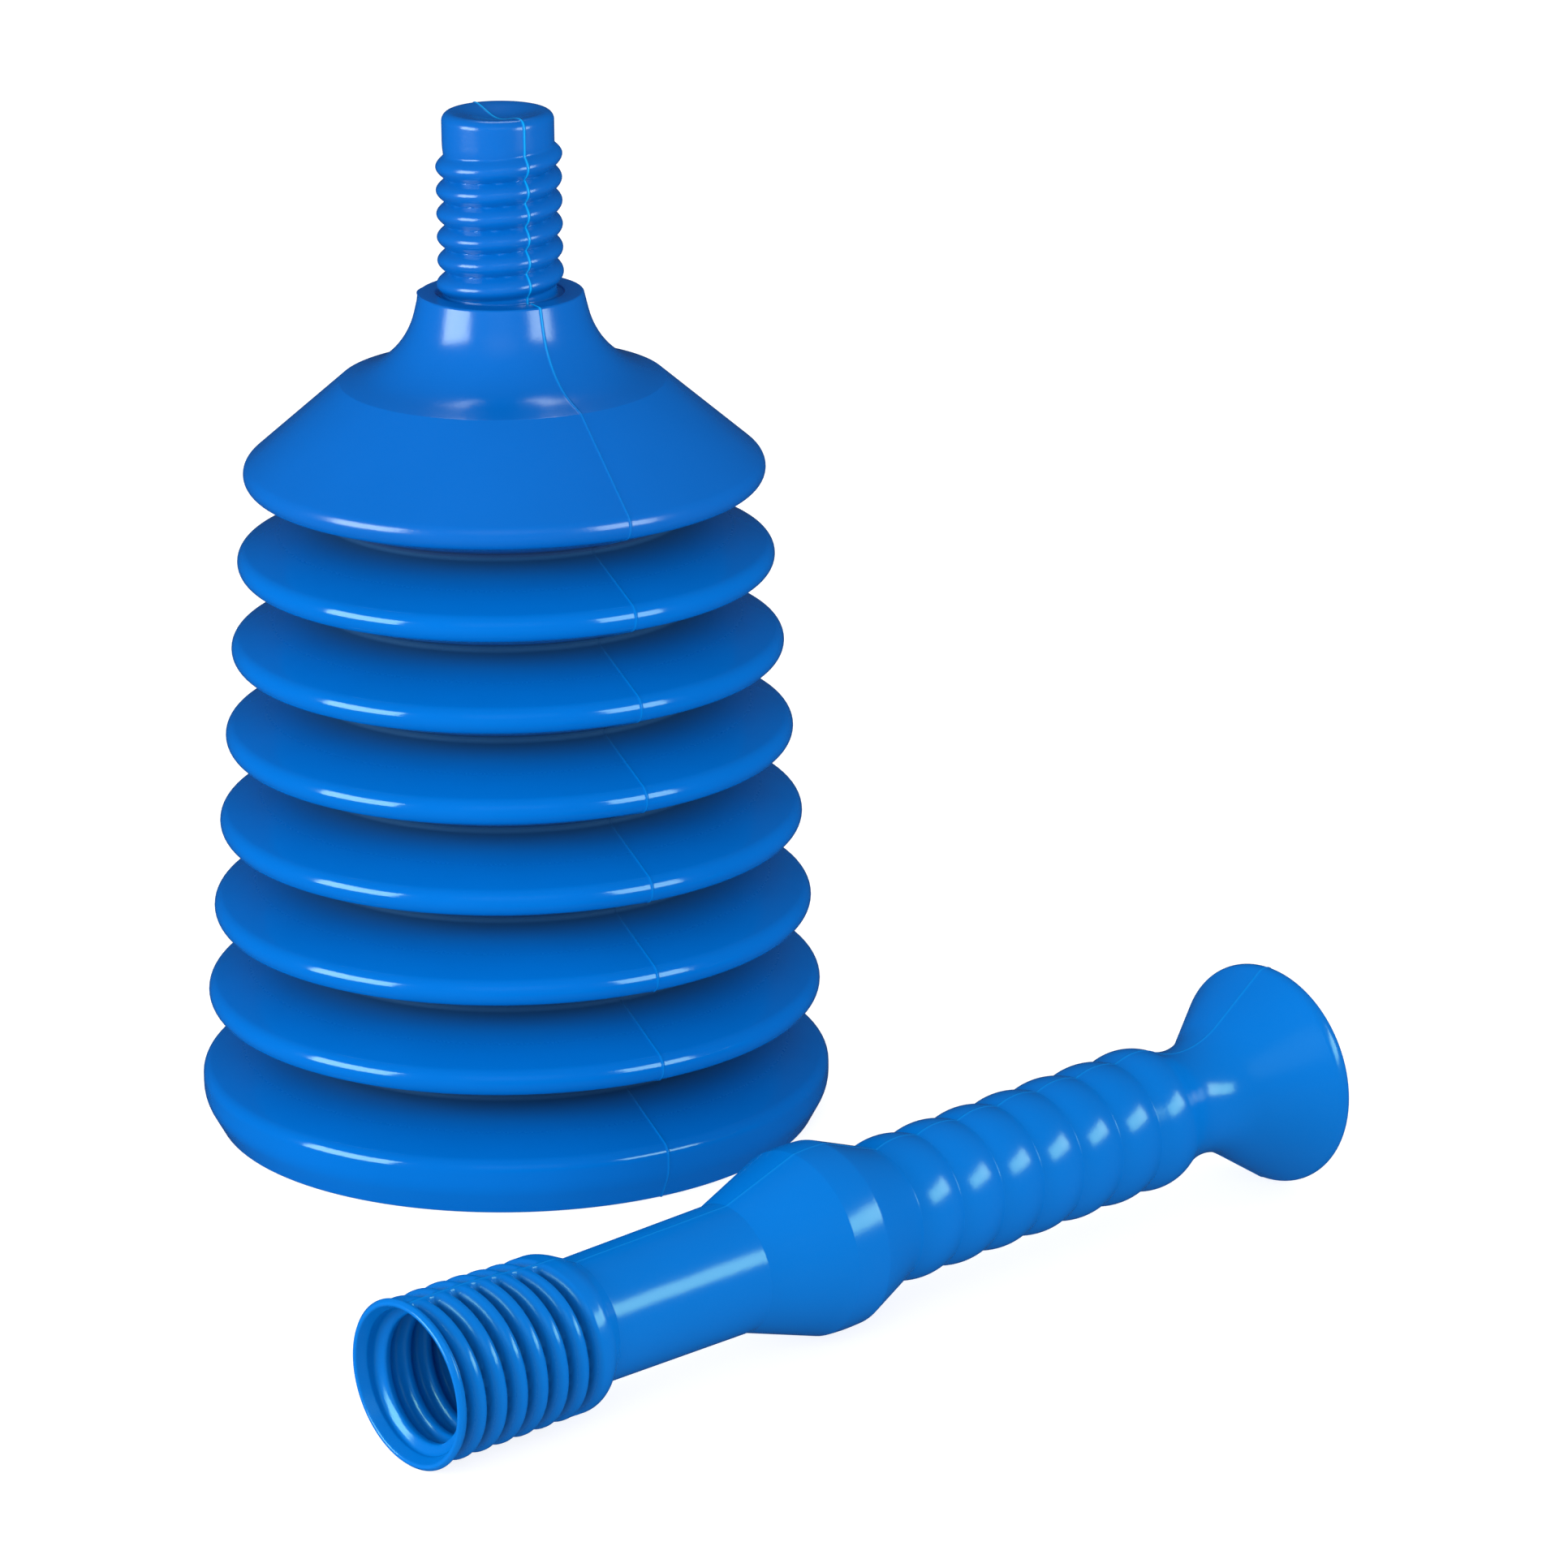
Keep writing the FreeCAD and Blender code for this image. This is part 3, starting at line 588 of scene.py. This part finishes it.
# The helix starts on the parting line, at the top.
helix_angle = angle + math.pi / 2
beside = helix_distance(helix_angle, up, GROOVE_START, GROOVE_TURNS, SOCKET_RADIUS)
rib = 1 - np.clip((beside - 0.0005) / 0.0020, 0, 1)
groove = 1 - np.sqrt(np.clip(1 - rib ** 1.7, 0, 1))
parted = np.abs(across * np.cos(angle))
groove *= eased((parted - 0.0003) / 0.0014)
groove[len(upper) + len(socket):] = 0
groove[:np.argmax(up[:, 0] < GROOVE_LIMIT)] = 0
groove *= eased((up - 0.0014) / 0.0016)
ridge = eased(1.3 - beside / 0.0017) * eased((up - mouth[-1, 1]) / 0.0012)
ridge[:outside_rows] = 0
ridge[outside_rows + len(bore):] = 0
sunk = eased((up - SINK_START) / SINK_GROWS) * eased((SINK_END - up) / SINK_FADES)
sunk = sunk * np.clip(-np.sin(angle), 0, 1) ** 4
sunk[outside_rows - len(mouth):] = 0
radius = across - GROOVE_DEPTH * groove - RIDGE_HEIGHT * ridge - SINK_DEPTH * sunk
on_flash = flash(across, angle, math.pi / 2, HANDLE_FLASH_WIDTH)
on_flash = on_flash * np.hypot(normal_across, normal_up)
on_flash[outside_rows - len(mouth):] = 0
radius = radius + HANDLE_FLASH_LIFT * on_flash * normal_across
height = up + HANDLE_FLASH_LIFT * on_flash * normal_up
middle = np.array([*MOUTH, LIP_RADIUS * math.cos(tilt)])
round_e1 = (radius * np.cos(angle))[..., None] * e1
round_e2 = (radius * np.sin(angle))[..., None] * e2
points = middle + height[..., None] * u + round_e1 + round_e2
# The handle's flash is only faintly pale, and deep darkens its grooves with painted shade.
marks = {"flash": 0.25 * on_flash, "deep": np.clip(1.2 * groove, 0, 0.7) * np.ones_like(on_flash)}
handle = wrapped("handle_moulding", points, False, marks)
handle_plastic = blue_plastic(
    "blue_polyethylene_handle",
    (0.0, 0.115, 0.43),
    (0.0, 0.26, 0.62),
    (0.40, 1.0, 0.65),
    0.20,
    0.000014,
    0.00010,
)
handle.data.materials.append(handle_plastic)
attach(handle, "handle")
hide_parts("handle")

# ---------------------------------------------------------------------------------------------
# The studio: a plain white floor, a bright backdrop that only the camera and the soft light see,
# a soft box on each side, one for the handle, a small one behind the neck and a fill in front.


def floor_material():
    """Matt white card, lit from behind as well, with a faint drift in its whiteness."""
    material = bpy.data.materials.new("white_card")
    material.use_nodes = True
    tree = material.node_tree
    tree.nodes.clear()
    start = Wire(tree)
    place = start.node("ShaderNodeTexCoord", {}, {}, "Object")
    drift = start.node("ShaderNodeTexNoise", {}, {"Vector": place, "Scale": 3.0})
    white = start.node(
        "ShaderNodeMix",
        {"data_type": "RGBA"},
        {0: drift, 6: (0.90, 0.90, 0.90, 1), 7: (0.92, 0.92, 0.92, 1)},
        2,
    )
    shader = start.node(
        "ShaderNodeBsdfPrincipled",
        {},
        {
            "Base Color": (0.32, 0.32, 0.32, 1),
            "Roughness": 0.9,
            "Emission Color": white,
            "Emission Strength": 0.92,
        },
    )
    start.node("ShaderNodeOutputMaterial", {}, {"Surface": shader})
    return material


side = np.linspace(-3.0, 3.0, 13)
grid_x, grid_y = np.meshgrid(side, side)
corners = np.stack([grid_x, grid_y, np.zeros_like(grid_x)], axis=-1).reshape(-1, 3)
ids = np.arange(len(side) ** 2).reshape(len(side), len(side))
tiles = np.stack([ids[:-1, :-1], ids[:-1, 1:], ids[1:, 1:], ids[1:, :-1]], axis=-1).reshape(-1, 4)
floor_mesh = bpy.data.meshes.new("floor")
floor_mesh.from_pydata(corners, [], tiles.tolist())
floor = bpy.data.objects.new("floor", floor_mesh)
floor.data.materials.append(floor_material())
floor.visible_glossy = False
bpy.context.scene.collection.objects.link(floor)

world = bpy.data.worlds.new("studio")
bpy.context.scene.world = world
world.use_nodes = True
world.node_tree.nodes.clear()
sky = Wire(world.node_tree)
rays = sky.node("ShaderNodeLightPath", {}, {}, "Is Camera Ray")
glints = sky.node("ShaderNodeLightPath", {}, {}, "Is Glossy Ray")
backdrop = sky.node("ShaderNodeBackground", {}, {"Color": (1, 1, 1, 1), "Strength": 1.0})
room = sky.node("ShaderNodeBackground", {}, {"Color": (1, 1, 1, 1), "Strength": 0.85})
dark = sky.node("ShaderNodeBackground", {}, {"Color": (1, 1, 1, 1), "Strength": 0.02})
lit = sky.node("ShaderNodeMixShader", {}, {0: glints, 1: room, 2: dark})
seen = sky.node("ShaderNodeMixShader", {}, {0: rays, 1: lit, 2: backdrop})
sky.node("ShaderNodeOutputWorld", {}, {"Surface": seen})


def soft_box(name, aim, turn, rise, distance, width, height, power, receivers):
    """A rectangular soft box that faces the point aim from a turn to the right of the front and
    a rise above level, in degrees, and lights only the pieces named where any are."""
    light = bpy.data.lights.new(name, "AREA")
    light.shape = "RECTANGLE"
    light.size = width
    light.size_y = height
    light.energy = power
    box = bpy.data.objects.new(name, light)
    bpy.context.scene.collection.objects.link(box)
    turned = Matrix.Rotation(math.radians(turn), 4, "Z")
    raised = Matrix.Rotation(math.radians(90 - rise), 4, "X")
    back = Matrix.Translation((0, 0, distance))
    box.matrix_world = Matrix.Translation(aim) @ turned @ raised @ back
    if receivers:
        lit_pieces = bpy.data.collections.new(name)
        for piece in receivers:
            lit_pieces.objects.link(piece)
        box.light_linking.receiver_collection = lit_pieces
    return box


bellows_pieces = [
    piece for piece in bpy.context.scene.objects
    if piece.name.startswith("fold_") or piece.name in ("foot", "neck")
]
MIDDLE_OF_BELLOWS = (0, 0, 0.10)
soft_box("left_box", MIDDLE_OF_BELLOWS, -60, 12, 1.6, 1.00, 0.80, 27, None)
soft_box("right_box", MIDDLE_OF_BELLOWS, 55, 12, 1.6, 0.80, 0.80, 16, bellows_pieces)
soft_box("handle_box", (0.1, -0.13, 0.03), 80, 24, 1.6, 1.20, 0.50, 15, [handle])
soft_box("top_box", (0, 0, 0.18), 180, 62, 1.3, 0.50, 0.35, 2.5, [neck])
fill = soft_box("front_fill", (0.05, 0, 0.08), 0, 30, 1.9, 1.20, 0.90, 12, None)
fill.visible_glossy = False

# The camera stands in front and looks down a little, with a long lens.
camera = bpy.data.objects.new("camera", bpy.data.cameras.new("camera"))
camera.data.sensor_width = 36.0
camera.data.lens = 152.13
camera.data.clip_start = 0.1
camera.data.clip_end = 20.0
look = Matrix.Rotation(math.radians(90 - 17.93), 4, "X")
lean = Matrix.Rotation(math.radians(-0.393), 4, "Z")
camera.matrix_world = Matrix.Translation((0.06474, -1.49540, 0.56440)) @ look @ lean
bpy.context.scene.collection.objects.link(camera)
bpy.context.scene.camera = camera
bpy.context.scene.view_settings.view_transform = "Standard"
